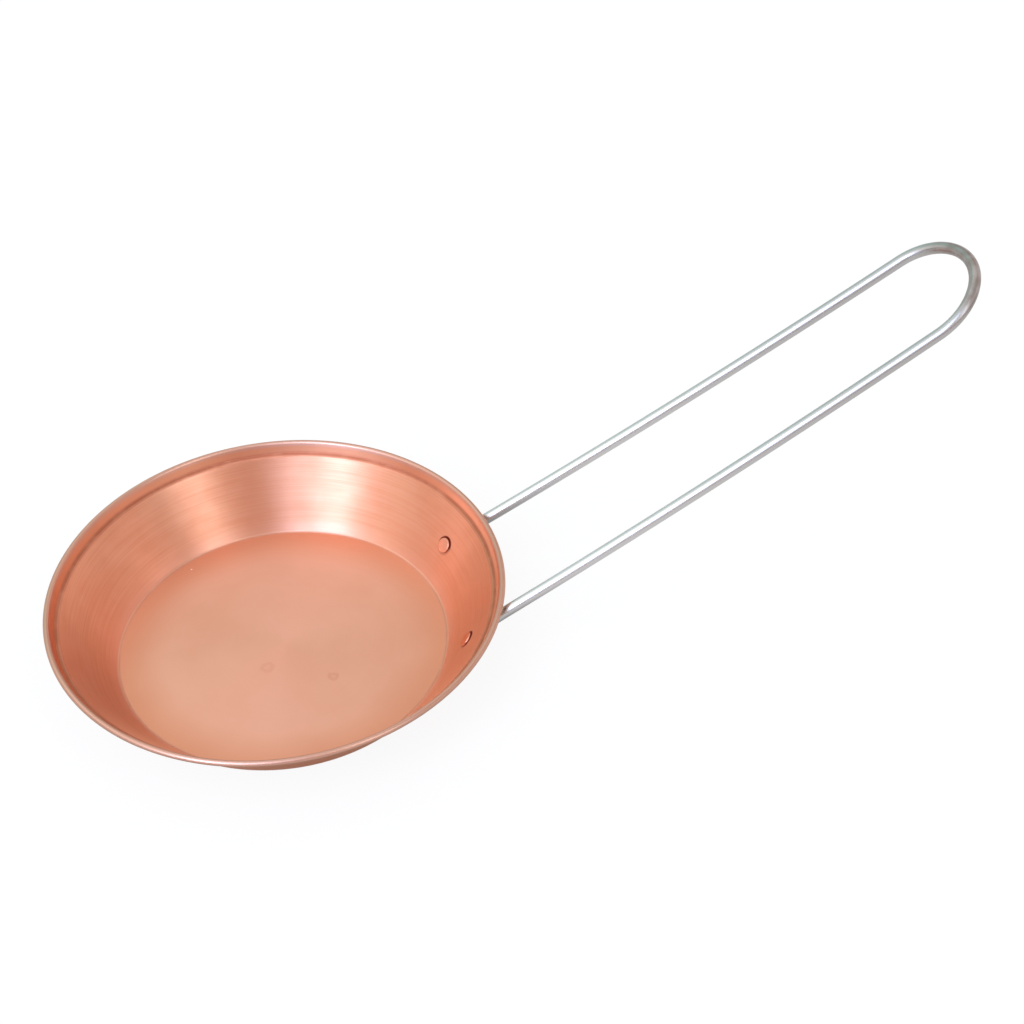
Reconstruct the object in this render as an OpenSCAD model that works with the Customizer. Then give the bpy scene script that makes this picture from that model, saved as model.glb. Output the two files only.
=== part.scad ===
// Copper frying pan with a long wire handle, riveted to the wall.
// Millimetres, +Z up. The origin is the middle of the underside, where the pan stands,
// and the handle reaches out along +X. Left and right are the cook's, who holds the
// handle and looks at the pan. The right side is drawn, and the left mirrors it.

/* [Pan] */
// Diameter over the rolled rim
rim_d = 200; // [190:1:280]
// Height from the underside to the top of the rim
pan_h = 34.5; // [32:0.5:60]
// Diameter of the flat floor, measured inside
floor_d = 146; // [120:1:152]
// Thickness of the copper sheet
sheet = 0.8; // [0.6:0.05:1]
// Inside radius of the bend between the floor and the wall
floor_bend_r = 1.8; // [0.8:0.1:6]

/* [Rim] */
// Outside diameter of the rolled bead
bead_d = 2.7; // [2.5:0.1:3.4]
// Slit left between the end of the roll and the lip
roll_gap = 0.15; // [0.1:0.05:0.3]
// From the outside of the rim in to the corner of the step
lip_w = 4.4; // [3.8:0.1:7]
// From the top of the rim down to the corner of the step
lip_h = 4.6; // [4:0.1:7]
// Width of the step at the top of the wall
step_w = 1.6; // [1:0.1:3]
// Rise across the step
step_rise = 0.8; // [0.4:0.1:1.2]
// Inside radius of the two bends of the step
step_bend_r = 0.5; // [0.2:0.1:0.8]

/* [Handle] */
// Diameter of the steel rod
rod_d = 5; // [4:0.1:5.4]
// Length of each leg along the rod, from the bend at its foot to the loop
leg_len = 228; // [120:1:320]
// Slope of the loop above the table, in degrees
loop_rise = 33.2; // [28:0.1:40]
// How far each leg bends upward along its length, in degrees
leg_bend = 3.5; // [1:0.1:10]
// How far each leg leans in toward the other, in degrees
leg_lean = 1; // [0:0.1:2]

/* [Feet] */
// Thickness of the flattened foot
foot_t = 2; // [1.5:0.1:2.5]
// Width of the flattened foot
foot_w = 10; // [9:0.1:12]
// From the rivet to the bend where the rod leaves the wall
foot_len = 9.9; // [8:0.1:10.9]
// From the full width of the foot to that bend
shoulder_len = 4; // [2:0.1:5]
// From the bend to where the rod is fully round
neck_len = 11; // [9:0.5:16]

/* [Rivets] */
// Distance between the two rivets, straight across
rivet_gap = 61; // [50:0.2:80]
// Height of the rivets above the table
rivet_z = 15.6; // [13.5:0.1:17.6]
// Diameter of the shank
shank_d = 4; // [3:0.1:4.5]
// Diameter of the flat head inside the pan
head_d = 6.8; // [6:0.1:8.5]
// Thickness of the flat head
head_t = 0.8; // [0.6:0.1:1.5]
// Radius around the edge of the flat head
head_edge_r = 0.3; // [0.1:0.1:0.5]
// Diameter of the domed head outside
dome_d = 7; // [6:0.1:8]
// Height of the domed head
dome_h = 2; // [1.2:0.1:3]

/* [Fits] */
// Gap between a shank and its hole, all round
shank_gap = 0.05; // [0.05:0.01:0.2]
// Gap left between the faces that the rivets clamp
seat_gap = 0.06; // [0.04:0.01:0.2]

/* [Hidden] */

// Sides of the round pan and of the rod, and of every other circle
pan_sides = 180;
rod_sides = 48;
$fn = 96;
// Steps in each rounded bend of the sheet, and around the roll
bend_steps = 6;
roll_steps = 40;
// Sides of a forged foot, and steps around its tip and along its neck
foot_sides = 24;
tip_steps = 5;
neck_steps = 8;
// Steps along the curve of a leg, and around the edges of the rivets' heads
leg_steps = 10;
head_steps = 8;
// How far a cut runs past what it cuts
overrun = 1;
// Extra turn of the half loop that the trim at the middle takes off, in degrees
loop_overrun = 6;
// How far the forged neck lies below the surface of the rod, and runs on into it
neck_inset = 0.04;
neck_overlap = 1.5;

rim_r = rim_d / 2;
floor_r = floor_d / 2;
bead_r = bead_d / 2;
rod_r = rod_d / 2;
shank_r = shank_d / 2;
head_r = head_d / 2;
dome_r = dome_d / 2;

// Corners of the sheet's inner face, before its bends are rounded, as [radius, height]
floor_corner = [floor_r, sheet];
step_outer = [rim_r - lip_w, pan_h - lip_h];
step_inner = step_outer - [step_w, step_rise];
bead_middle = [rim_r - bead_r, pan_h - bead_r];

wall_slope = slope(floor_corner, step_inner);
step_slope = slope(step_inner, step_outer);
// The lip runs from the step up to the bead, and meets it on its inner side
lip_slope = slope(step_outer, bead_middle) + asin(bead_r / norm(bead_middle - step_outer));
// The roll stops just short of the underside of the lip
roll_turn = 360 - acos((bead_r - sheet - roll_gap) / bead_r);

// The right rivet: where its axis meets the inner face of the wall, and its direction
rivet_r = floor_r + (rivet_z - sheet) / tan(wall_slope);
rivet_turn = asin(rivet_gap / 2 / rivet_r);
rivet_at = [rivet_r * cos(rivet_turn), rivet_r * sin(rivet_turn), rivet_z];
wall_out = [cos(rivet_turn) * sin(wall_slope), sin(rivet_turn) * sin(wall_slope), -cos(wall_slope)];

// Heights along that axis, outward from the inner face of the wall
foot_bottom = sheet + seat_gap;
foot_middle = foot_bottom + foot_t / 2;
dome_seat = foot_bottom + foot_t + seat_gap;
// The wall curves in under the flat head, so that its edge sits first
wall_curve_r = rivet_r / sin(wall_slope);
head_seat = seat_gap + wall_curve_r - sqrt(wall_curve_r ^ 2 - head_r ^ 2);

// The right leg: its direction at the loop, the direction square to the loop,
// and its direction where it leaves the foot
leg_end_dir = [cos(loop_rise) * cos(leg_lean), -sin(leg_lean), sin(loop_rise) * cos(leg_lean)];
loop_up = [-sin(loop_rise), 0, cos(loop_rise)];
leg_dir = cos(leg_bend) * leg_end_dir - sin(leg_bend) * loop_up;
// The foot lies on the wall, below the line of its leg
foot_dir = unit(leg_dir - (leg_dir * wall_out) * wall_out);
foot_side = cross(wall_out, foot_dir);
foot_turn = asin(leg_dir * wall_out);
// The leg follows an arc of this radius from its neck to the loop
leg_arc_r = (leg_len - neck_len) / (leg_bend * PI / 180);
neck_end = rivet_at + foot_len * foot_dir + foot_middle * wall_out + neck_len * leg_dir;
leg_end = neck_end + leg_arc_r * sin(leg_bend) * leg_end_dir
    - leg_arc_r * (1 - cos(leg_bend)) * loop_up;
loop_r = leg_end[1] / cos(leg_lean);
// Larger than the whole handle, for the block that trims it at the middle
trim_size = 2 * (rim_d + leg_len);

function unit(v) = v / norm(v);
function slope(a, b) = atan2(b[1] - a[1], b[0] - a[0]);
function left_of(heading) = [-sin(heading), cos(heading)];

// A rounded bend of the sheet, as [point on the inner face, heading there].
// The hollow side of the bend has radius r, whichever way it turns.
function bend(corner, from, to, r) =
    let(side = sign(to - from))
    let(face_r = side > 0 ? r : r + sheet)
    let(run = face_r * tan(abs(to - from) / 2))
    let(middle = corner - run * [cos(from), sin(from)] + side * face_r * left_of(from))
    [for (i = [0 : bend_steps])
        let(heading = from + (to - from) * i / bend_steps)
        [middle - side * face_r * left_of(heading), heading]];

// The edge of the sheet, rolled outward and down around the middle of the bead
function roll() =
    [for (i = [0 : roll_steps])
        let(heading = lip_slope - roll_turn * i / roll_steps)
        [bead_middle + bead_r * left_of(heading), heading]];

// The inner face from the middle of the floor to the end of the roll
sheet_path = concat(
    [[[0, sheet], 0]],
    bend(floor_corner, 0, wall_slope, floor_bend_r),
    bend(step_inner, wall_slope, step_slope, step_bend_r),
    bend(step_outer, step_slope, lip_slope, step_bend_r),
    roll());

// The same face, and then the outer face back to the middle
sheet_outline = concat(
    [for (p = sheet_path) p[0]],
    [for (i = [len(sheet_path) - 1 : -1 : 0])
        sheet_path[i][0] - sheet * left_of(sheet_path[i][1])]);

// A section of the foot: a flat bar with round edges, which turns into a round rod
// when it is as wide as it is thick. along and out are measured from the rivet.
function foot_section(along, out, turn, w, t) =
    let(middle = rivet_at + along * foot_dir + out * wall_out)
    let(across = cos(turn) * wall_out - sin(turn) * foot_dir)
    [for (i = [0 : foot_sides - 1])
        let(a = 360 * (i + 0.5) / foot_sides)
        middle + (t / 2 * cos(a) + sign(cos(a)) * (w - t) / 2) * foot_side
            + t / 2 * sin(a) * across];

// The round tip, centred on the rivet
tip_sections = [for (i = [1 : tip_steps])
    let(a = 90 * i / tip_steps)
    foot_section(-foot_w / 2 * cos(a), foot_middle, 0, foot_w * sin(a), foot_t)];

// The neck leaves the wall on a smooth curve, narrows and thickens
neck_d = rod_d - 2 * neck_inset;
neck_sections = [for (i = [0 : neck_steps])
    let(share = i / neck_steps)
    let(ease = share * share * (3 - 2 * share))
    let(bar = shoulder_len * (1 - share))
    let(rod = neck_len * share)
    foot_section(
        foot_len - bar * (1 - share) + rod * share * cos(foot_turn),
        foot_middle + rod * share * sin(foot_turn),
        atan2(rod * sin(foot_turn), bar + rod * cos(foot_turn)),
        foot_w + (neck_d - foot_w) * ease,
        foot_t + (neck_d - foot_t) * ease)];

// Its last section lies inside the rod
neck_root = [for (p = neck_sections[neck_steps]) p + neck_overlap * leg_dir];

// Joins a row of sections of equal count into one closed solid
module skin(sections) {
    sides = len(sections[0]);
    last = len(sections) - 1;
    polyhedron(
        points = [for (s = sections) each s],
        faces = concat(
            [[for (j = [0 : sides - 1]) j]],
            [[for (j = [sides - 1 : -1 : 0]) last * sides + j]],
            [for (i = [0 : last - 1], j = [0 : sides - 1])
                let(k = (j + 1) % sides)
                each [
                    [i * sides + j, (i + 1) * sides + j, i * sides + k],
                    [i * sides + k, (i + 1) * sides + j, (i + 1) * sides + k]]]));
}

// Places its children at the right rivet: the origin is on the inner face of the wall,
// and +Z points out of the pan
module at_rivet() {
    rotate([0, 0, rivet_turn])
        translate([rivet_r, 0, rivet_z])
            rotate([0, 180 - wall_slope, 0])
                children();
}

module rivet_hole() {
    at_rivet()
        translate([0, 0, -overrun])
            cylinder(r = shank_r + shank_gap, h = dome_seat + 2 * overrun);
}

// One sheet: floor, wall, step, lip and rolled bead
module pan_body() {
    color([0.80, 0.47, 0.36])
        difference() {
            rotate_extrude($fn = pan_sides)
                polygon(sheet_outline);
            rivet_hole();
            mirror([0, 1, 0])
                rivet_hole();
        }
}

// The flattened end of the rod, drilled for its rivet
module foot() {
    difference() {
        skin(concat(tip_sections, neck_sections, [neck_root]));
        rivet_hole();
    }
}

// The leg and half of the loop, drawn from the point where they meet,
// with +X along the leg and +Z square to the loop
module leg_and_half_loop() {
    translate([0, 0, leg_arc_r])
        rotate([90, 0, 0])
            rotate_extrude(start = -90 - leg_bend, angle = leg_bend, $fn = 360 * leg_steps / leg_bend)
                translate([leg_arc_r, 0])
                    circle(r = rod_r, $fn = rod_sides);
    translate([0, -loop_r, 0])
        rotate_extrude(start = -loop_overrun, angle = 90 + loop_overrun)
            translate([loop_r, 0])
                circle(r = rod_r, $fn = rod_sides);
}

module half_handle() {
    foot();
    intersection() {
        translate(leg_end)
            rotate([0, -loop_rise, 0])
                rotate([0, 0, -leg_lean])
                    leg_and_half_loop();
        translate([0, 0, -trim_size / 2])
            cube(trim_size);
    }
}

// One steel rod, bent double, with a foot at each end
module handle() {
    color([0.78, 0.77, 0.76]) {
        half_handle();
        mirror([0, 1, 0])
            half_handle();
    }
}

// A flat head inside the pan, the shank, and the domed head outside
module rivet() {
    dome_arc_r = (dome_r ^ 2 + dome_h ^ 2) / (2 * dome_h);
    dome_arc_a = asin(dome_r / dome_arc_r);
    color([0.84, 0.50, 0.38])
        at_rivet()
            rotate_extrude()
                polygon(concat(
                    [[0, -head_seat - head_t]],
                    [for (i = [0 : head_steps])
                        let(a = 90 * i / head_steps)
                        [head_r - head_edge_r * (1 - sin(a)),
                            head_edge_r * (1 - cos(a)) - head_seat - head_t]],
                    [[head_r, -head_seat], [shank_r, -head_seat], [shank_r, dome_seat]],
                    [for (i = [0 : head_steps])
                        let(a = dome_arc_a * (1 - i / head_steps))
                        [dome_arc_r * sin(a),
                            dome_seat + dome_h - dome_arc_r * (1 - cos(a))]]));
}

module rivet_right() {
    rivet();
}

module rivet_left() {
    mirror([0, 1, 0])
        rivet();
}

pan_body();
handle();
rivet_left();
rivet_right();
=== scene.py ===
from math import acos, asin, atan2, ceil, cos, hypot, pi, radians, sin, sqrt, tan

import bmesh
import bpy
from mathutils import Matrix, Vector


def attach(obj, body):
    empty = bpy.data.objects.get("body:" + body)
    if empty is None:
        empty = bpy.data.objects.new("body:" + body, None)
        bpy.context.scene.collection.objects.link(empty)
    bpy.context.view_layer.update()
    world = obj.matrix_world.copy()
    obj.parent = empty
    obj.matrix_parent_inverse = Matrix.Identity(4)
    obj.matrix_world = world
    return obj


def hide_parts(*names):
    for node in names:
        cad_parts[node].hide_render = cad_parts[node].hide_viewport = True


# A copper frying pan with a long steel rod handle. Metres, in the frame of the CAD:
# +Z up from the middle of the underside, and the handle reaches out along +X.
# The CAD gives the sizes and places. Each of its four nodes is drawn again here on
# the same dimensions, with finer curves and the finish of the real metal.

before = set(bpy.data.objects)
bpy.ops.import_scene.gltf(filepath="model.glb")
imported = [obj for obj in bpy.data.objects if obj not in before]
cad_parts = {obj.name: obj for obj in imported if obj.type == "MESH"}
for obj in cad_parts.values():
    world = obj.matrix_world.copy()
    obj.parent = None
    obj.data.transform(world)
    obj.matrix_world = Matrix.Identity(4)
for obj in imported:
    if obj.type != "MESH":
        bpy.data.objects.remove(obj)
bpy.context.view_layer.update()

MM = 0.001

# Pan
RIM_R = 100 * MM
PAN_H = 34.5 * MM
FLOOR_R = 73 * MM
SHEET = 0.8 * MM
FLOOR_BEND_R = 1.8 * MM

# Rim
BEAD_R = 1.35 * MM
ROLL_GAP = 0.15 * MM
LIP_W = 4.4 * MM
LIP_H = 4.6 * MM
STEP_W = 1.6 * MM
STEP_RISE = 0.8 * MM
STEP_BEND_R = 0.5 * MM

# Handle
ROD_R = 2.5 * MM
LEG_LEN = 228 * MM
LOOP_RISE = radians(33.2)
LEG_BEND = radians(3.5)
LEG_LEAN = radians(1)

# Feet
FOOT_T = 2 * MM
FOOT_W = 10 * MM
FOOT_LEN = 9.9 * MM
SHOULDER_LEN = 4 * MM
NECK_LEN = 11 * MM
# The blunt face at a foot's tip: its size as a share of the foot's thickness, and its turn
# as a share of the turn of the section behind it
TIP_FACE = 0.6
TIP_TURN = 0.3

# Rivets
RIVET_GAP = 61 * MM
RIVET_Z = 15.6 * MM
SHANK_R = 2 * MM
HEAD_R = 3.4 * MM
HEAD_T = 0.8 * MM
HEAD_EDGE_R = 0.3 * MM
DOME_R = 3.5 * MM
DOME_H = 2 * MM
SHANK_GAP = 0.05 * MM
SEAT_GAP = 0.06 * MM

# Fineness of the meshes
PAN_SIDES = 360
BEND_STEPS = 10
ROLL_STEPS = 48
WALL_ROW = 1.4 * MM
FLOOR_ROW = 6 * MM
ROD_SIDES = 48
TIP_STEPS = 10
NECK_STEPS = 24
LEG_STEPS = 40
LOOP_STEPS = 48
RIVET_SIDES = 96
ROUND_STEPS = 14
SHARP = radians(32)


# Outline of the sheet: points are (radius, height), headings are angles above outward

def slope(a, b):
    return atan2(b[1] - a[1], b[0] - a[0])


def ahead(point, heading, distance):
    return (point[0] + distance * cos(heading), point[1] + distance * sin(heading))


def left_of(point, heading, distance):
    return ahead(point, heading + pi / 2, distance)


FLOOR_CORNER = (FLOOR_R, SHEET)
STEP_OUTER = (RIM_R - LIP_W, PAN_H - LIP_H)
STEP_INNER = (STEP_OUTER[0] - STEP_W, STEP_OUTER[1] - STEP_RISE)
BEAD_MIDDLE = (RIM_R - BEAD_R, PAN_H - BEAD_R)
WALL_SLOPE = slope(FLOOR_CORNER, STEP_INNER)
STEP_SLOPE = slope(STEP_INNER, STEP_OUTER)
LIP_REACH = hypot(BEAD_MIDDLE[0] - STEP_OUTER[0], BEAD_MIDDLE[1] - STEP_OUTER[1])
LIP_SLOPE = slope(STEP_OUTER, BEAD_MIDDLE) + asin(BEAD_R / LIP_REACH)
ROLL_TURN = 2 * pi - acos((BEAD_R - SHEET - ROLL_GAP) / BEAD_R)

# The right rivet, the way out of the pan through it, and what seats there how far out
RIVET_R = FLOOR_R + (RIVET_Z - SHEET) / tan(WALL_SLOPE)
RIVET_TURN = asin(RIVET_GAP / 2 / RIVET_R)
RIVET_AT = Vector((RIVET_R * cos(RIVET_TURN), RIVET_R * sin(RIVET_TURN), RIVET_Z))
WALL_OUT = Vector((cos(RIVET_TURN) * sin(WALL_SLOPE), sin(RIVET_TURN) * sin(WALL_SLOPE),
                   -cos(WALL_SLOPE)))
FOOT_BOTTOM = SHEET + SEAT_GAP
FOOT_MIDDLE = FOOT_BOTTOM + FOOT_T / 2
DOME_SEAT = FOOT_BOTTOM + FOOT_T + SEAT_GAP
WALL_CURVE_R = RIVET_R / sin(WALL_SLOPE)
HEAD_SEAT = SEAT_GAP + WALL_CURVE_R - sqrt(WALL_CURVE_R ** 2 - HEAD_R ** 2)

# The right leg, which bends up a little and leans in, the loop that it runs into, and the
# ways along and across its foot
LEG_END_DIR = Vector((cos(LOOP_RISE) * cos(LEG_LEAN), -sin(LEG_LEAN),
                      sin(LOOP_RISE) * cos(LEG_LEAN)))
LOOP_UP = Vector((-sin(LOOP_RISE), 0, cos(LOOP_RISE)))
LOOP_IN = LEG_END_DIR.cross(LOOP_UP)
LEG_DIR = cos(LEG_BEND) * LEG_END_DIR - sin(LEG_BEND) * LOOP_UP
FOOT_DIR = (LEG_DIR - LEG_DIR.dot(WALL_OUT) * WALL_OUT).normalized()
FOOT_SIDE = WALL_OUT.cross(FOOT_DIR)
FOOT_TURN = asin(LEG_DIR.dot(WALL_OUT))
LEG_ARC_R = (LEG_LEN - NECK_LEN) / LEG_BEND
NECK_END = RIVET_AT + FOOT_LEN * FOOT_DIR + FOOT_MIDDLE * WALL_OUT + NECK_LEN * LEG_DIR
LEG_END = (NECK_END + LEG_ARC_R * sin(LEG_BEND) * LEG_END_DIR
           - LEG_ARC_R * (1 - cos(LEG_BEND)) * LOOP_UP)
LOOP_R = LEG_END.y / cos(LEG_LEAN)
LOOP_START = LEG_END.x


# Meshes

def add_object(name, data):
    thing = bpy.data.objects.new(name, data)
    bpy.context.scene.collection.objects.link(thing)
    return thing


def finish_piece(piece, node):
    """A piece that stands for a CAD node, with its edges smooth or sharp by their angle."""
    piece.data.shade_smooth()
    piece.data.set_sharp_from_angle(angle=SHARP)
    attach(piece, "root")
    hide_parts(node)


def skin_rings(bm, rings, material=0):
    """Faces between rows of vertices of equal count. Returns the faces."""
    count = len(rings[0])
    faces = []
    for low, high in zip(rings, rings[1:]):
        for i in range(count):
            j = (i + 1) % count
            face = bm.faces.new((low[i], low[j], high[j], high[i]))
            face.material_index = material
            faces.append(face)
    return faces


def revolve(bm, outline, sides, materials=None, place=Matrix.Identity(4)):
    """Turns an outline of (radius, height), whose two ends are on the axis, into a solid."""
    poles = [bm.verts.new(place @ Vector((0, 0, outline[i][1]))) for i in (0, -1)]
    turns = [2 * pi * i / sides for i in range(sides)]
    rings = [[bm.verts.new(place @ Vector((r * cos(a), r * sin(a), z))) for a in turns]
             for r, z in outline[1:-1]]
    materials = materials or [0] * (len(outline) - 1)
    for k, (low, high) in enumerate(zip(rings, rings[1:])):
        skin_rings(bm, [low, high], material=materials[k + 1])
    for pole, ring, index in ((poles[0], rings[0], 0), (poles[1], rings[-1], -1)):
        for i in range(sides):
            face = bm.faces.new((pole, ring[i], ring[(i + 1) % sides]))
            face.material_index = materials[index]


def to_mesh(bm, name):
    bmesh.ops.recalc_face_normals(bm, faces=bm.faces)
    mesh = bpy.data.meshes.new(name)
    bm.to_mesh(mesh)
    bm.free()
    return mesh


def rivet_matrix(side):
    """From a rivet's own frame, with +Z out of the pan, to the pan's. side is 1 or -1."""
    across = WALL_OUT.cross(Vector((0, 0, 1))).normalized()
    along = across.cross(WALL_OUT)
    right = Matrix((along, across, WALL_OUT)).transposed().to_4x4()
    right.translation = RIVET_AT
    return Matrix.Diagonal((1, side, 1, 1)) @ right


def drill_rivet_holes(piece):
    """Cuts the holes that the rivets' shanks pass through."""
    bm = bmesh.new()
    outline = [(0, -DOME_SEAT), (SHANK_R + SHANK_GAP, -DOME_SEAT),
               (SHANK_R + SHANK_GAP, 2 * DOME_SEAT), (0, 2 * DOME_SEAT)]
    for side in (1, -1):
        revolve(bm, outline, RIVET_SIDES, place=rivet_matrix(side))
    cutter = add_object("cutter", to_mesh(bm, "cutter"))
    cut = piece.modifiers.new("holes", "BOOLEAN")
    cut.operation, cut.solver, cut.object = "DIFFERENCE", "EXACT", cutter
    bpy.context.view_layer.update()
    evaluated = piece.evaluated_get(bpy.context.evaluated_depsgraph_get())
    drilled = bpy.data.meshes.new_from_object(evaluated)
    piece.modifiers.clear()
    piece.data = drilled
    bpy.data.objects.remove(cutter)


# Shader graphs

class Graph:
    """A material's or the world's nodes. Most calls make one node and give its output."""

    def __init__(self, owner):
        owner.use_nodes = True
        self.tree = owner.node_tree
        self.tree.nodes.clear()

    def feed(self, socket, value):
        """Links a socket to another node's output, or sets it to a plain value."""
        if isinstance(value, bpy.types.NodeSocket):
            self.tree.links.new(value, socket)
        else:
            socket.default_value = value

    def add(self, kind, inputs=None, output=0, **settings):
        node = self.tree.nodes.new(kind)
        for key, value in settings.items():
            setattr(node, key, value)
        for name, value in (inputs or {}).items():
            self.feed(node.inputs[name], value)
        return node.outputs[output]

    def finish(self, shader, kind="ShaderNodeOutputMaterial"):
        self.tree.links.new(shader, self.tree.nodes.new(kind).inputs["Surface"])

    def place(self, kind="Object"):
        """A kind of texture coordinate. In a world, Generated is the direction of sight."""
        return self.add("ShaderNodeTexCoord", output=kind)

    def ray(self, kind):
        """1 for rays of that kind, and 0 for others."""
        return self.add("ShaderNodeLightPath", output=kind)

    def math(self, operation, a, b=0.0):
        return self.add("ShaderNodeMath", {0: a, 1: b}, operation=operation)

    def vector(self, operation, a, b):
        """Vector maths that gives a vector."""
        return self.add("ShaderNodeVectorMath", {0: a, 1: b}, operation=operation)

    def length(self, vector):
        return self.add("ShaderNodeVectorMath", {0: vector}, "Value", operation="LENGTH")

    def dot(self, a, b):
        return self.add("ShaderNodeVectorMath", {0: a, 1: b}, "Value", operation="DOT_PRODUCT")

    def combine(self, x, y, z):
        return self.add("ShaderNodeCombineXYZ", {0: x, 1: y, 2: z})

    def split(self, vector):
        return self.add("ShaderNodeSeparateXYZ", {0: vector}).node.outputs

    def noise(self, vector, scale, detail=2.0, roughness=0.5):
        return self.add("ShaderNodeTexNoise", {
            "Vector": vector, "Scale": scale, "Detail": detail, "Roughness": roughness})

    def ramp(self, value, low, high, to_low=0.0, to_high=1.0):
        """Runs smoothly from to_low, where value is low, to to_high, where it is high."""
        return self.add("ShaderNodeMapRange", {
            "Value": value, "From Min": low, "From Max": high, "To Min": to_low, "To Max": to_high},
            interpolation_type="SMOOTHSTEP")

    def band(self, value, middle, half_width):
        """1 where a value is at the middle, running down to 0 at half_width on either side."""
        off = self.math("ABSOLUTE", self.math("SUBTRACT", value, middle))
        return self.ramp(off, half_width * 0.35, half_width, 1.0, 0.0)

    def mix(self, share, a, b):
        """Colour a, or b where share is 1."""
        node = self.tree.nodes.new("ShaderNodeMix")
        node.data_type = "RGBA"
        factor, first, second = node.inputs[0], node.inputs[6], node.inputs[7]
        for socket, value in ((factor, share), (first, a), (second, b)):
            self.feed(socket, value)
        return node.outputs[2]


def rgba(red, green, blue):
    return (red, green, blue, 1.0)


# Colours of bare metal
COPPER = rgba(0.815, 0.405, 0.265)
COPPER_DEEP = rgba(0.775, 0.345, 0.210)
COPPER_PALE = rgba(0.84, 0.445, 0.320)
# Duller copper, which is also painted as shade in the creases
COPPER_DULL_AND_SHADE = rgba(0.54, 0.170, 0.090)
COPPER_FLOOR = rgba(0.86, 0.454, 0.324)
COPPER_LIP = rgba(0.73, 0.345, 0.210)
# Paler copper, painted on the lip as a sheen beside the handle
COPPER_SHEEN = rgba(0.82, 0.620, 0.460)
COPPER_BEAD = rgba(0.66, 0.37, 0.275)
COPPER_RIVET = rgba(0.83, 0.450, 0.320)
SCRATCH = rgba(0.97, 0.82, 0.74)
STEEL = rgba(0.670, 0.650, 0.635)
STEEL_DARK = rgba(0.480, 0.460, 0.445)
STEEL_WORN = rgba(0.340, 0.288, 0.262)

# Tints of what metal mirrors at a glancing angle
WHITE = rgba(1, 1, 1)
COPPER_EDGE = rgba(1.0, 0.74, 0.62)
LIP_EDGE = rgba(0.96, 0.88, 0.80)

# Painted shade in the step's crease, which lets some metal through; deeper painted shade round the
# rivets, also the colour of the nick in the rim, which hides it; and the roughness that these and the
# other marks add
CREASE_SHADE = rgba(0.32, 0.080, 0.035)
DEEP_SHADE_AND_NICK = rgba(0.14, 0.008, 0.001)
DIRT_AND_SHADE_ROUGHNESS = 0.15

# Marks on the pan, and light and shade painted on it, with places and sizes in millimetres
# Dried drops on the floor: x, y, radius, and how dark
DROPS = [(-8.4, -13.1, 2.2, 0.15), (19.3, -25.0, 1.7, 0.22)]
# A bright speck on the floor and a nick in the rim: where, and how big
SPECK = ((-36.6, 57.1, 0.8), 0.5)
NICK = ((-77.4, -61.9, 33.5), 0.9)
# A painted sheen on the lip beside the handle, which makes it paler: where, and the distances over which
# that fades
LIP_SHEEN = ((100, -20, 32), (15, 95))
# Painted shade and reflection of the wall on the floor, darker and redder towards its edge: the radii
# over which it grows
WALL_SHADE_ON_FLOOR = (50, 72)
# Heights over which one colour turns into the next, up from the foot of the wall
# The first is a painted reflection of the floor, paler towards the wall's foot
WALL_FOOT_REFLECTION = (1.0, 8.0)
LIP_FOOT = ((PAN_H - LIP_H) / MM, (PAN_H - LIP_H) / MM + 0.6)
BEAD_FOOT = (PAN_H / MM - 2.2, PAN_H / MM - 1.2)
# Painted shade in the creases, as lines: radius, how far each spreads, how dark, and its colour
STEP_SHADE_LINES = [((STEP_INNER[0] + STEP_OUTER[0]) / 2 / MM, 1.5, 0.68, COPPER_DULL_AND_SHADE),
              (STEP_OUTER[0] / MM - 0.4, 0.8, 0.42, CREASE_SHADE)]
FLOOR_SHADE_LINES = [(FLOOR_R / MM, 1.1, 0.15, COPPER_DEEP),
               (FLOOR_R / MM - 0.6, 0.6, 0.35, COPPER_DULL_AND_SHADE)]
# Painted shade on the wall round a rivet's head: its darkest radius, how far it spreads to either
# side, the least of it, which is towards the floor, and where it grows from that to all of
# it, in radius plus height and counted from the rivet's
RIVET_SHADE_R = HEAD_R / MM + 0.35
RIVET_SHADE_SPREAD = 0.95
RIVET_SHADE_LEAST = 0.25
RIVET_SHADE_RISE = (-2.0, 2.5)
# Painted shade on a rivet: the distances from its axis over which it sets in, and so along the
# axis, out of the pan from the wall's inner face
HEAD_SHADE_R = (HEAD_R / MM - 0.07, HEAD_R / MM - 0.02)
HEAD_SHADE_DEPTH = (-0.42, -0.28)

# The rod: lines round it, how often a metre they break, where painted shade starts to darken
# the legs, and the reach over which the scuffs of the loop come up
ROD_LINES = 30.0
LINE_BREAKS = 20.0
LEG_SHADE_FROM = 110 * MM
SCUFFS = (LOOP_START + 4 * MM, LOOP_START + 16 * MM)


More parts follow.
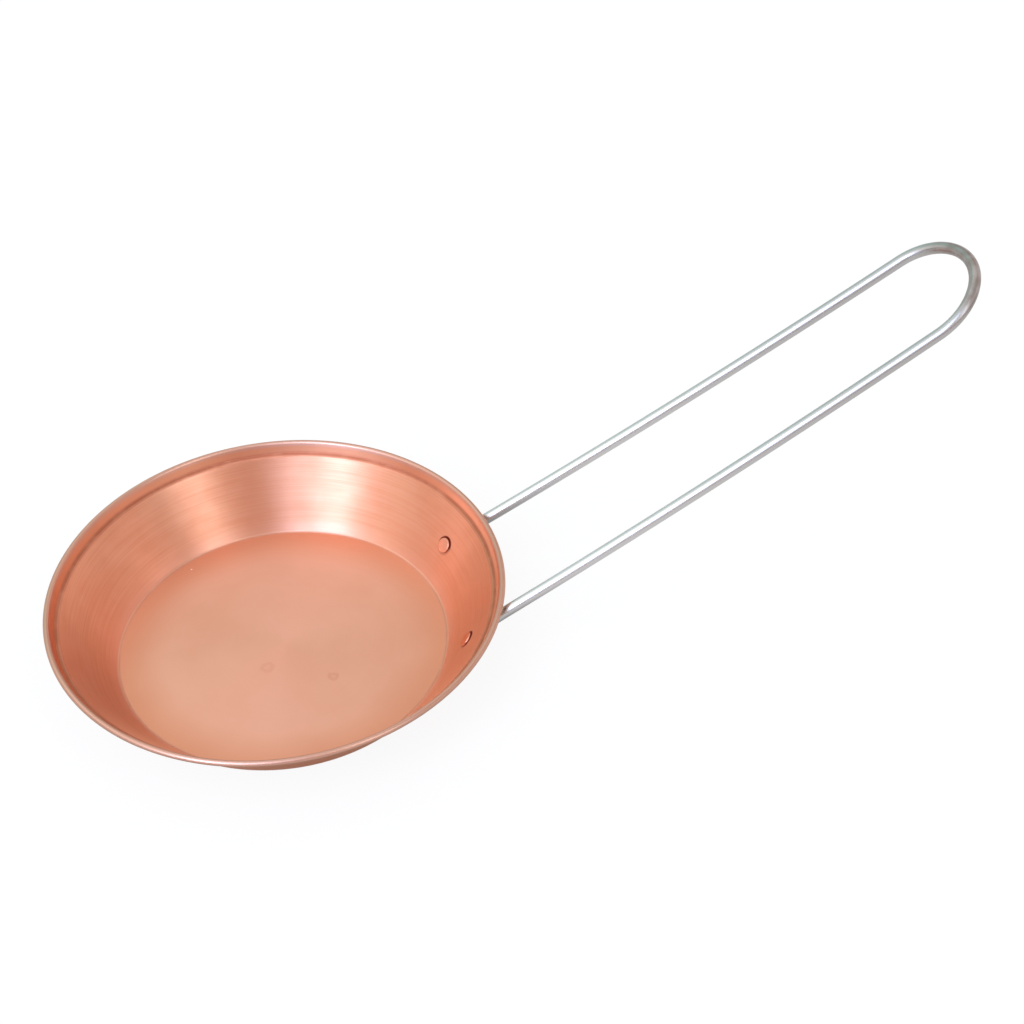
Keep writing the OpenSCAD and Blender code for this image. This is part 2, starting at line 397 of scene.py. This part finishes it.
class PanPlaces:
    """Coordinates on the pan, for patterns that run round it. Only object is in metres."""

    def __init__(self, g):
        self.g = g
        self.object = g.place()
        x, y, z = g.split(self.object)
        square = g.math("ADD", g.math("MULTIPLY", x, x), g.math("MULTIPLY", y, y))
        radius = g.math("SQRT", square)
        self.radius = g.math("DIVIDE", radius, MM)
        self.height = g.math("DIVIDE", z, MM)
        self.unit_x = g.math("DIVIDE", x, radius)
        self.unit_y = g.math("DIVIDE", y, radius)
        self.across = g.math("ADD", self.radius, self.height)

    def rings(self, per_mm, turns, detail, roughness):
        """Noise drawn out round the pan: lines a millimetre, and how often they break in a turn."""
        g = self.g
        vector = g.combine(g.math("MULTIPLY", self.unit_x, turns),
                           g.math("MULTIPLY", self.unit_y, turns),
                           g.math("MULTIPLY", self.across, per_mm))
        return g.noise(vector, 1.0, detail, roughness)

    def mottle(self, size, detail=2.0, roughness=0.5):
        """Noise in patches of about that size in millimetres."""
        return self.g.noise(self.object, 1 / (size * MM), detail, roughness)

    def distance(self, point):
        """Distance from a point, both in millimetres."""
        return length_mm(self.g, self.g.vector("SUBTRACT", self.object, [c * MM for c in point]))

    def spot(self, point, size):
        """1 near a point, running down to 0 at a distance of size. Both are in millimetres."""
        return self.g.ramp(self.distance(point), size / 2, size, 1.0, 0.0)


def new_material(name):
    material = bpy.data.materials.new(name)
    return material, Graph(material)


def metal(g, colour, roughness, normal, anisotropy=0.0, tangent=None, edge_tint=WHITE, bare=1.0):
    """Metal of that colour, or something that isn't metal where bare is below 1: at painted shade and at
    the nick in the rim.
    """
    sockets = {"Base Color": colour, "Metallic": bare, "Roughness": roughness, "Normal": normal,
               "Anisotropic": anisotropy, "Specular Tint": edge_tint, "Specular IOR Level": 0.1}
    if tangent is not None:
        sockets["Tangent"] = tangent
        sockets["Anisotropic Rotation"] = 0.25
    g.finish(g.add("ShaderNodeBsdfPrincipled", sockets))


def bump(g, height, strength, distance_mm, normal=None):
    sockets = {"Height": height, "Strength": strength, "Distance": distance_mm * MM}
    if normal is not None:
        sockets["Normal"] = normal
    return g.add("ShaderNodeBump", sockets)


def ring_tangent(g):
    return g.add("ShaderNodeTangent", direction_type="RADIAL", axis="Z")


def length_mm(g, vector):
    return g.math("DIVIDE", g.length(vector), MM)


def from_rivet(g, place):
    """The way to a place from where the nearer rivet's axis meets the wall's inner face."""
    x, y, z = g.split(place)
    return g.vector("SUBTRACT", g.combine(x, g.math("ABSOLUTE", y), z), RIVET_AT)


def rivet_distance_mm(g, place):
    """Distance from the axis of the nearer rivet."""
    return length_mm(g, g.vector("CROSS_PRODUCT", from_rivet(g, place), WALL_OUT))


def beyond_wall_mm(g, place):
    """How far out of the pan a place near a rivet lies, from the wall's inner face."""
    return g.math("DIVIDE", g.dot(from_rivet(g, place), WALL_OUT), MM)


def soil_and_shade(g, colour, rough, share, dirt_and_shade):
    """Dirt, duller metal or painted shade over a share of a surface. Returns its new colour and
    roughness.
    """
    return g.mix(share, colour, dirt_and_shade), g.math("ADD", rough, g.math("MULTIPLY", share, DIRT_AND_SHADE_ROUGHNESS))


def brushed_colour(g, at, patches, coarse, fine):
    """Slow patches under paler, duller and deeper lines. A painted reflection of the floor makes the
    wall's foot paler, like the floor.
    """
    colour = g.mix(g.ramp(patches, 0.38, 0.66, 0.25, 0.75), COPPER, COPPER_DEEP)
    colour = g.mix(g.ramp(coarse, 0.46, 0.68, 0.0, 0.35), colour, COPPER_PALE)
    colour = g.mix(g.ramp(coarse, 0.32, 0.52, 0.14, 0.0), colour, COPPER_DULL_AND_SHADE)
    colour = g.mix(g.ramp(fine, 0.52, 0.78, 0.0, 0.3), colour, COPPER_DEEP)
    # Painted reflection of the floor, paler towards the wall's foot
    return g.mix(g.ramp(at.height, *WALL_FOOT_REFLECTION, 0.8, 0.0), colour, COPPER_FLOOR)


def rim_colour(g, at, colour):
    """The lip, with a painted sheen that makes it paler beside the handle, and the bead above it."""
    point, fade = LIP_SHEEN
    # Painted sheen, paler beside the handle
    lip = g.mix(g.ramp(at.distance(point), *fade, 0.9, 0.0), COPPER_LIP, COPPER_SHEEN)
    colour = g.mix(g.ramp(at.height, *LIP_FOOT), colour, lip)
    return g.mix(g.ramp(at.height, *BEAD_FOOT), colour, COPPER_BEAD)


def crease_shade(g, at, colour, rough, lines):
    """Painted shade in the creases: lines that run round the pan, a little uneven in how dark they are.
    """
    uneven = g.ramp(at.mottle(9), 0.3, 0.6, 0.72, 1.0)
    for radius, spread, depth, dirt_and_shade in lines:
        share = g.math("MULTIPLY", g.band(at.radius, radius, spread), g.math("MULTIPLY", uneven, depth))
        colour, rough = soil_and_shade(g, colour, rough, share, dirt_and_shade)
    return colour, rough


def rivet_shade(g, at):
    """Painted shade on the wall round the rivets' heads, with less of it on the side of the floor."""
    start, end = [(RIVET_R + RIVET_Z) / MM + way for way in RIVET_SHADE_RISE]
    share = g.ramp(at.across, start, end, RIVET_SHADE_LEAST, 1.0)
    ring = g.band(rivet_distance_mm(g, at.object), RIVET_SHADE_R, RIVET_SHADE_SPREAD)
    return g.math("MULTIPLY", share, ring)


def brushed_copper(name, roughness, anisotropy, line_strength, lines=(), edge_tint=COPPER_EDGE):
    """Copper brushed in rings, with fine lines in colour, gloss and bump over slow patches."""
    material, g = new_material(name)
    at = PanPlaces(g)
    fine = at.rings(per_mm=3.2, turns=3.0, detail=3.0, roughness=0.7)
    coarse = at.rings(per_mm=1.2, turns=2.0, detail=2.0, roughness=0.6)
    patches = at.mottle(22, detail=3.0)
    colour = rim_colour(g, at, brushed_colour(g, at, patches, coarse, fine))
    rough = g.math("ADD", g.ramp(fine, 0.3, 0.7, roughness - 0.04, roughness + 0.04),
                   g.ramp(patches, 0.3, 0.7, -0.02, 0.03))
    # Painted shade along the creases
    colour, rough = crease_shade(g, at, colour, rough, lines)
    # Painted shade round the rivets' heads, and the dark nick in the rim
    dark = g.math("MAXIMUM", rivet_shade(g, at), at.spot(*NICK))
    colour, rough = soil_and_shade(g, colour, rough, dark, DEEP_SHADE_AND_NICK)
    normal = bump(g, fine, line_strength, 0.02)
    normal = bump(g, coarse, line_strength / 2, 0.04, normal)
    metal(g, colour, rough, normal, anisotropy, ring_tangent(g), edge_tint,
          bare=g.math("SUBTRACT", 1.0, dark))
    return material


def dried_drops(g, at, colour, rough):
    """A ring round each drop, with a ragged edge. The floor is duller within it than without."""
    ragged = g.ramp(at.mottle(2.4), 0.3, 0.7, -0.35, 0.35)
    for x, y, size, depth in DROPS:
        away = g.math("ADD", at.distance((x, y, SHEET / MM)), ragged)
        mark = g.math("MAXIMUM", g.band(away, size, 1.5), g.ramp(away, 0.0, size, 0.6, 0.3))
        colour, rough = soil_and_shade(g, colour, rough, g.math("MULTIPLY", mark, depth), COPPER_DULL_AND_SHADE)
    return colour, rough


def satin_copper():
    """The floor: matt and mottled, with a trace of the lathe, dried drops and a bright speck."""
    material, g = new_material("copper_floor")
    at = PanPlaces(g)
    cloud = at.mottle(34, detail=3.0, roughness=0.45)
    grain = at.mottle(0.7, detail=3.0, roughness=0.7)
    lathe = at.rings(per_mm=1.6, turns=2.0, detail=3.0, roughness=0.6)
    colour = g.mix(g.ramp(cloud, 0.30, 0.72, 0.0, 0.45), COPPER_FLOOR, COPPER)
    colour = g.mix(g.ramp(lathe, 0.45, 0.8, 0.0, 0.2), colour, COPPER)
    # Painted shade and reflection of the wall, growing towards the floor's edge
    colour = g.mix(g.ramp(at.radius, *WALL_SHADE_ON_FLOOR, 0.0, 0.9), colour, COPPER_DEEP)
    rough = g.math("ADD", g.ramp(cloud, 0.3, 0.7, 0.37, 0.42), g.ramp(grain, 0.3, 0.7, -0.02, 0.02))
    colour, rough = dried_drops(g, at, colour, rough)
    colour = g.mix(at.spot(*SPECK), colour, SCRATCH)
    normal = bump(g, grain, 0.12, 0.02)
    normal = bump(g, lathe, 0.10, 0.03, normal)
    metal(g, colour, rough, normal, 0.45, ring_tangent(g), COPPER_EDGE)
    return material


def drawn_steel():
    """Stainless rod with fine lines drawn along it. Painted shade darkens it towards the loop, which is
    scuffed.
    """
    material, g = new_material("steel_rod")
    along, around, _ = g.split(g.place("UV"))
    drawn = g.combine(g.math("MULTIPLY", along, LINE_BREAKS), g.math("MULTIPLY", around, ROD_LINES), 0.0)
    lines = g.noise(drawn, 1.0, detail=3.0, roughness=0.6)
    place = g.place()
    marks = g.noise(place, 1 / (6 * MM), detail=3.0, roughness=0.6)
    reach, _, _ = g.split(place)
    scuffed = g.ramp(reach, *SCUFFS)
    # Painted shade that darkens the legs towards the loop, with duller drawn lines
    dull_lines_and_shade = g.math("MAXIMUM", g.ramp(reach, LEG_SHADE_FROM, LOOP_START, 0.0, 0.8),
                  g.ramp(lines, 0.45, 0.75, 0.0, 0.35))
    scuffs = g.math("MULTIPLY", scuffed, g.ramp(marks, 0.3, 0.7, 0.5, 1.0))
    colour = g.mix(scuffs, g.mix(dull_lines_and_shade, STEEL, STEEL_DARK), STEEL_WORN)
    rough = g.math("ADD", g.ramp(lines, 0.3, 0.7, 0.25, 0.30), g.ramp(marks, 0.4, 0.7, 0.0, 0.04))
    rough = g.math("ADD", rough, g.math("MULTIPLY", scuffed, 0.06))
    tangent = g.add("ShaderNodeTangent", direction_type="UV_MAP", uv_map="along")
    metal(g, colour, rough, bump(g, lines, 0.05, 0.01), 0.5, tangent)
    return material


def rivet_copper():
    """Struck copper, with painted shade at the foot of the head's edge and round the dome."""
    material, g = new_material("copper_rivet")
    place = g.place()
    spots = g.noise(place, 1 / (0.8 * MM), detail=3.0, roughness=0.6)
    colour = g.mix(g.ramp(spots, 0.4, 0.7), COPPER_RIVET, COPPER_DEEP)
    # Painted shade at the foot of the head's edge and round the dome
    dirt_and_shade = g.math("MULTIPLY", g.ramp(rivet_distance_mm(g, place), *HEAD_SHADE_R),
                  g.ramp(beyond_wall_mm(g, place), *HEAD_SHADE_DEPTH))
    colour, rough = soil_and_shade(g, colour, g.ramp(spots, 0.3, 0.7, 0.28, 0.38), dirt_and_shade, DEEP_SHADE_AND_NICK)
    metal(g, colour, rough, bump(g, spots, 0.15, 0.04), edge_tint=COPPER_EDGE,
          bare=g.math("SUBTRACT", 1.0, dirt_and_shade))
    return material


# The pan

def bend(corner, start, end, radius, offset):
    """Points of one face of the sheet round a bend, offset to the left of its inner face."""
    side = 1 if end > start else -1
    face_r = radius if side > 0 else radius + SHEET
    run = face_r * tan(abs(end - start) / 2)
    middle = left_of(ahead(corner, start, -run), start, side * face_r)
    return [left_of(middle, start + (end - start) * i / BEND_STEPS, offset - side * face_r)
            for i in range(BEND_STEPS + 1)]


def rows_between(a, b, row):
    """Points that split a straight stretch into even rows, without its ends."""
    count = ceil(hypot(b[0] - a[0], b[1] - a[1]) / row)
    return [(a[0] + (b[0] - a[0]) * i / count, a[1] + (b[1] - a[1]) * i / count)
            for i in range(1, count)]


# The pan's material slots
FLOOR, WALL, RIM, OUTSIDE = range(4)


def sheet_face(offset):
    """One face of the sheet, from the axis to the end of the roll, with each row's material."""
    floor_bend = bend(FLOOR_CORNER, 0, WALL_SLOPE, FLOOR_BEND_R, offset)
    inner_bend = bend(STEP_INNER, WALL_SLOPE, STEP_SLOPE, STEP_BEND_R, offset)
    outer_bend = bend(STEP_OUTER, STEP_SLOPE, LIP_SLOPE, STEP_BEND_R, offset)
    headings = [LIP_SLOPE - ROLL_TURN * i / ROLL_STEPS for i in range(ROLL_STEPS + 1)]
    rolled = [left_of(BEAD_MIDDLE, heading, BEAD_R + offset) for heading in headings]
    start = (0, floor_bend[0][1])
    floor = [start] + rows_between(start, floor_bend[0], FLOOR_ROW)
    wall = floor_bend + rows_between(floor_bend[-1], inner_bend[0], WALL_ROW)
    rim = inner_bend + outer_bend + rows_between(outer_bend[-1], rolled[0], WALL_ROW) + rolled
    return floor + wall + rim, [FLOOR] * len(floor) + [WALL] * len(wall) + [RIM] * len(rim)


def pan_finishes():
    """The pan's materials, in the order of its slots."""
    wall = brushed_copper("copper_wall", roughness=0.36, anisotropy=0.95, line_strength=0.28,
                          lines=FLOOR_SHADE_LINES)
    rim = brushed_copper("copper_rim", roughness=0.37, anisotropy=0.6, line_strength=0.10,
                         lines=STEP_SHADE_LINES, edge_tint=LIP_EDGE)
    outside = brushed_copper("copper_outside", roughness=0.38, anisotropy=0.75, line_strength=0.16)
    return [satin_copper(), wall, rim, outside]


def make_pan():
    inner_face, finishes = sheet_face(0)
    outer_face, _ = sheet_face(-SHEET)
    finishes = finishes[:-1] + [RIM] + [OUTSIDE] * (len(outer_face) - 1)
    bm = bmesh.new()
    revolve(bm, inner_face + outer_face[::-1], PAN_SIDES, finishes)
    pan = add_object("pan_sheet", to_mesh(bm, "pan_sheet"))
    for material in pan_finishes():
        pan.data.materials.append(material)
    drill_rivet_holes(pan)
    finish_piece(pan, "pan_body")


# The handle

def foot_ring(along, out, turn, width, thick):
    """A section of the foot, as in the CAD: a flat bar with round edges, or a round rod."""
    middle = RIVET_AT + along * FOOT_DIR + out * WALL_OUT
    across = cos(turn) * WALL_OUT - sin(turn) * FOOT_DIR
    ring = []
    for i in range(ROD_SIDES):
        a = 2 * pi * (i + 0.5) / ROD_SIDES
        flat = (width - thick) / 2 * (1 if cos(a) > 0 else -1)
        ring.append(middle + (thick / 2 * cos(a) + flat) * FOOT_SIDE + thick / 2 * sin(a) * across)
    return ring


def tip_rings():
    """The round tip of a foot, from its blunt face to where the foot has its full width."""
    first = asin(FOOT_T / FOOT_W)
    face = foot_ring(-FOOT_W / 2 * cos(first * TIP_TURN), FOOT_MIDDLE, 0,
                     FOOT_T * TIP_FACE, FOOT_T * TIP_FACE)
    turns = [first + (pi / 2 - first) * i / TIP_STEPS for i in range(TIP_STEPS + 1)]
    return [face] + [foot_ring(-FOOT_W / 2 * cos(a), FOOT_MIDDLE, 0, FOOT_W * sin(a), FOOT_T)
                     for a in turns]


def neck_rings():
    """From the foot's shoulder, where the bar starts to bend up, to where it is a round rod."""
    rings = []
    for i in range(NECK_STEPS + 1):
        share = i / NECK_STEPS
        ease = share * share * (3 - 2 * share)
        bar, rod = SHOULDER_LEN * (1 - share), NECK_LEN * share
        rings.append(foot_ring(
            FOOT_LEN - bar * (1 - share) + rod * share * cos(FOOT_TURN),
            FOOT_MIDDLE + rod * share * sin(FOOT_TURN),
            atan2(rod * sin(FOOT_TURN), bar + rod * cos(FOOT_TURN)),
            FOOT_W + (2 * ROD_R - FOOT_W) * ease,
            FOOT_T + (2 * ROD_R - FOOT_T) * ease))
    return rings


def leg_path():
    """Middle points and directions from the end of the neck to the start of the loop."""
    centre = LEG_END + LEG_ARC_R * LOOP_UP
    path = []
    for i in range(1, LEG_STEPS + 1):
        a = LEG_BEND - LEG_BEND * i / LEG_STEPS
        heading = cos(a) * LEG_END_DIR - sin(a) * LOOP_UP
        up = cos(a) * LOOP_UP + sin(a) * LEG_END_DIR
        path.append((centre - LEG_ARC_R * up, heading))
    return path


def loop_path():
    """The same from the start of the loop to its top."""
    centre = LEG_END + LOOP_R * LOOP_IN
    path = []
    for i in range(1, LOOP_STEPS + 1):
        a = (pi / 2 - LEG_LEAN) * i / LOOP_STEPS
        path.append((centre + LOOP_R * (sin(a) * LEG_END_DIR - cos(a) * LOOP_IN),
                     cos(a) * LEG_END_DIR + sin(a) * LOOP_IN))
    return path


def rod_rings():
    """Round sections along the leg and half the loop."""
    rings, side = [], FOOT_SIDE
    for middle, heading in leg_path() + loop_path():
        side = (side - side.dot(heading) * heading).normalized()
        up = heading.cross(side)
        turns = [2 * pi * (i + 0.5) / ROD_SIDES for i in range(ROD_SIDES)]
        rings.append([middle + ROD_R * (cos(a) * side + sin(a) * up) for a in turns])
    return rings


def map_along(bm, rings, faces):
    """A UV map with the distance along the rod and the turn round it."""
    layer = bm.loops.layers.uv.new("along")
    distance, previous = 0.0, None
    place = {}
    for ring in rings:
        middle = sum((v.co for v in ring), Vector()) / len(ring)
        distance += (middle - previous).length if previous else 0
        previous = middle
        for i, v in enumerate(ring):
            place[v] = (distance, i / len(ring))
    for face in faces:
        corners = [place[loop.vert] for loop in face.loops]
        wraps = max(c[1] for c in corners) - min(c[1] for c in corners) > 0.5
        for loop, (u, v) in zip(face.loops, corners):
            loop[layer].uv = (u, v + 1 if wraps and v < 0.5 else v)


def make_handle():
    right = tip_rings() + neck_rings() + rod_rings()
    left = [[Vector((p.x, -p.y, p.z)) for p in ring] for ring in right[-2::-1]]
    bm = bmesh.new()
    rings = [[bm.verts.new(p) for p in ring] for ring in right + left]
    faces = skin_rings(bm, rings)
    faces += [bm.faces.new(rings[0]), bm.faces.new(rings[-1])]
    map_along(bm, rings, faces)
    handle = add_object("rod_handle", to_mesh(bm, "rod_handle"))
    handle.data.materials.append(drawn_steel())
    drill_rivet_holes(handle)
    finish_piece(handle, "handle")


# The rivets

def rivet_outline():
    """From the top of the flat head, inside the pan, to the top of the dome, outside."""
    face = -HEAD_SEAT - HEAD_T
    turns = [pi / 2 * i / ROUND_STEPS for i in range(ROUND_STEPS + 1)]
    edge = [(HEAD_R - HEAD_EDGE_R * (1 - sin(a)), face + HEAD_EDGE_R * (1 - cos(a))) for a in turns]
    arc_r = (DOME_R ** 2 + DOME_H ** 2) / (2 * DOME_H)
    arc_a = asin(DOME_R / arc_r)
    dome = []
    for i in range(ROUND_STEPS):
        a = arc_a * (1 - i / ROUND_STEPS)
        dome.append((arc_r * sin(a), DOME_SEAT + DOME_H - arc_r * (1 - cos(a))))
    return ([(0, face)] + edge
            + [(HEAD_R, -HEAD_SEAT), (SHANK_R, -HEAD_SEAT), (SHANK_R, DOME_SEAT)]
            + dome + [(0, DOME_SEAT + DOME_H)])


def make_rivet(name, side, material):
    bm = bmesh.new()
    revolve(bm, rivet_outline(), RIVET_SIDES, place=rivet_matrix(side))
    rivet = add_object(name + "_copper", to_mesh(bm, name))
    rivet.data.materials.append(material)
    finish_piece(rivet, name)


# Floor, light and camera

# The paper's own colour and size, and how much of what is seen of it is an even glow
PAPER = rgba(0.88, 0.88, 0.88)
PAPER_SIZE = 6.0
EVEN_SHARE = 0.9
# How bright metal sees that glow, with a painted shadow under the pan: under the pan, away from it, and
# the distances from the middle between which it changes
GLOW_SHADED = 0.30
GLOW_LIT = 0.84
GLOW_CHANGE = (0.085, 0.17)


def make_floor():
    """White paper, nearly even to the camera, and with a painted shadow under the pan to the metal."""
    bm = bmesh.new()
    bmesh.ops.create_grid(bm, x_segments=1, y_segments=1, size=PAPER_SIZE)
    floor = add_object("floor", to_mesh(bm, "floor"))
    material, g = new_material("studio_floor")
    camera, mirrored = g.ray("Is Camera Ray"), g.ray("Is Glossy Ray")
    level = g.ramp(g.length(g.place()), *GLOW_CHANGE, GLOW_SHADED, GLOW_LIT)
    strength = g.math("ADD", camera, g.math("MULTIPLY", mirrored, level))
    paper = g.add("ShaderNodeBsdfDiffuse", {"Color": PAPER})
    glow = g.add("ShaderNodeEmission", {"Color": WHITE, "Strength": strength})
    share = g.math("MULTIPLY", g.math("MAXIMUM", camera, mirrored), EVEN_SHARE)
    g.finish(g.add("ShaderNodeMixShader", {0: share, 1: paper, 2: glow}))
    floor.data.materials.append(material)


LAMP_DISTANCE = 1.6


def aim(azimuth, elevation):
    """A unit vector in a direction given in degrees."""
    a, e = radians(azimuth), radians(elevation)
    return Vector((cos(a) * cos(e), sin(a) * cos(e), sin(e)))


def softbox(name, azimuth, elevation, width, height, radiance, colour=(1, 1, 1)):
    """A rectangular lamp of even brightness, which faces the pan and is seen from it that way."""
    light = bpy.data.lights.new(name, "AREA")
    light.shape, light.size, light.size_y = "RECTANGLE", width, height
    light.energy = radiance * pi * width * height
    light.color = colour
    lamp = add_object(name, light)
    lamp.location = aim(azimuth, elevation) * LAMP_DISTANCE
    lamp.rotation_mode = "QUATERNION"
    lamp.rotation_quaternion = aim(azimuth, elevation).to_track_quat("Z", "Y")
    lamp.visible_camera = False


def light_studio():
    softbox("left_strip", azimuth=-136, elevation=38, width=0.42, height=0.8,
            radiance=3.3, colour=(0.8, 1.0, 1.6))
    softbox("left_wall", azimuth=-176, elevation=37, width=2.6, height=0.85, radiance=0.57)


# The room that the metal mirrors. A height is the sine of an elevation. Each of these has
# the heights between which the room's brightness changes, and the brightness at the two
BEHIND_LOW = (0.12, 0.22, 0.9, 0.0)
BEHIND_HIGH = (0.58, 0.72, 0.55, 1.22)
IN_FRONT = (0.08, 0.42, 0.20, 1.0)
OVERHEAD = (0.82, 0.97, 1.0, 0.75)
# Where the front of the room turns into its back, along Y
FRONT_TO_BACK = (-0.25, 0.25)
# Dim zones: azimuth, elevation, the cosines of the angle from there between which each
# sets in, and the brightness that is left
DIM_ZONES = [(-94, 32, (0.92, 0.985), 0.5),
             (0, 52, (0.87, 0.97), 0.55),
             (66, 30, (0.90, 0.985), 0.78)]
# Windows of daylight: azimuth, half width, the elevations between which each comes up,
# those between which it fades, and colour
WINDOWS = [(-131, 40, (19, 36), (70, 88), (1.65, 2.2, 3.3)),
           (-53, 16, (19, 34), (70, 88), (1.6, 1.8, 2.1)),
           (15, 65, (8, 15), (24, 36), (0.62, 0.41, 0.34)),
           (118, 34, (8, 20), (36, 54), (0.05, 0.34, 0.30)),
           (-88, 24, (8, 22), (44, 60), (0.20, 0.04, 0.02)),
           (-85, 60, (-4, 2), (8, 18), (0.30, 0.10, 0.04))]


def room_brightness(g, direction):
    """The room without its windows. The camera stands at its front."""
    _, y, z = g.split(direction)
    behind = g.math("MAXIMUM", g.ramp(z, *BEHIND_HIGH), g.ramp(z, *BEHIND_LOW))
    back = g.ramp(y, *FRONT_TO_BACK)
    front = g.math("MULTIPLY", g.math("SUBTRACT", 1.0, back), g.ramp(z, *IN_FRONT))
    room = g.math("ADD", g.math("MULTIPLY", back, behind), front)
    room = g.math("MULTIPLY", room, g.ramp(z, *OVERHEAD))
    for azimuth, elevation, onset, left in DIM_ZONES:
        zone = g.ramp(g.dot(direction, aim(azimuth, elevation)), *onset, 1.0, left)
        room = g.math("MULTIPLY", room, zone)
    return room


def add_windows(g, direction, room):
    """The room's brightness with the windows' light on top, as a colour."""
    x, y, z = g.split(direction)
    azimuth = g.math("ARCTAN2", y, x)
    for middle, half_width, rise, fade, colour in WINDOWS:
        glow = g.band(azimuth, radians(middle), radians(half_width))
        glow = g.math("MULTIPLY", glow, g.ramp(z, *[sin(radians(e)) for e in rise]))
        glow = g.math("MULTIPLY", glow, g.ramp(z, *[sin(radians(e)) for e in fade], 1.0, 0.0))
        room = g.vector("ADD", room, g.vector("MULTIPLY", glow, colour))
    return room


def make_world():
    """White to the camera, while the metal mirrors a pale room with windows."""
    world = bpy.data.worlds.new("studio")
    bpy.context.scene.world = world
    g = Graph(world)
    direction = g.place("Generated")
    room = add_windows(g, direction, room_brightness(g, direction))
    seen = g.mix(g.ray("Is Camera Ray"), room, WHITE)
    g.finish(g.add("ShaderNodeBackground", {"Color": seen, "Strength": 1.0}), "ShaderNodeOutputWorld")


# The camera of the photograph: how high it looks down, how far it has turned from
# looking along +Y and about its own axis, and how far it stands back from the origin,
# to its right and above it
CAMERA_DOWN = radians(42.25)
CAMERA_TURN = radians(-7.86)
CAMERA_ROLL = radians(-3.69)
CAMERA_BACK = 0.982
CAMERA_RIGHT = 0.101146
CAMERA_ABOVE = 0.058783
SENSOR = 36.0
LENS = 77.94


def make_camera():
    turn = Matrix.Rotation(CAMERA_TURN, 3, "Z") @ Matrix.Rotation(pi / 2 - CAMERA_DOWN, 3, "X")
    turn = turn @ Matrix.Rotation(CAMERA_ROLL, 3, "Z")
    data = bpy.data.cameras.new("camera")
    data.sensor_width, data.lens = SENSOR, LENS
    camera = add_object("camera", data)
    camera.matrix_world = Matrix.Translation(
        turn @ Vector((CAMERA_RIGHT, CAMERA_ABOVE, CAMERA_BACK))) @ turn.to_4x4()
    bpy.context.scene.camera = camera


make_camera()
make_world()
light_studio()
make_floor()
make_pan()
make_handle()
rivet_finish = rivet_copper()
make_rivet("rivet_right", 1, rivet_finish)
make_rivet("rivet_left", -1, rivet_finish)
bpy.context.scene.view_settings.view_transform = "Standard"
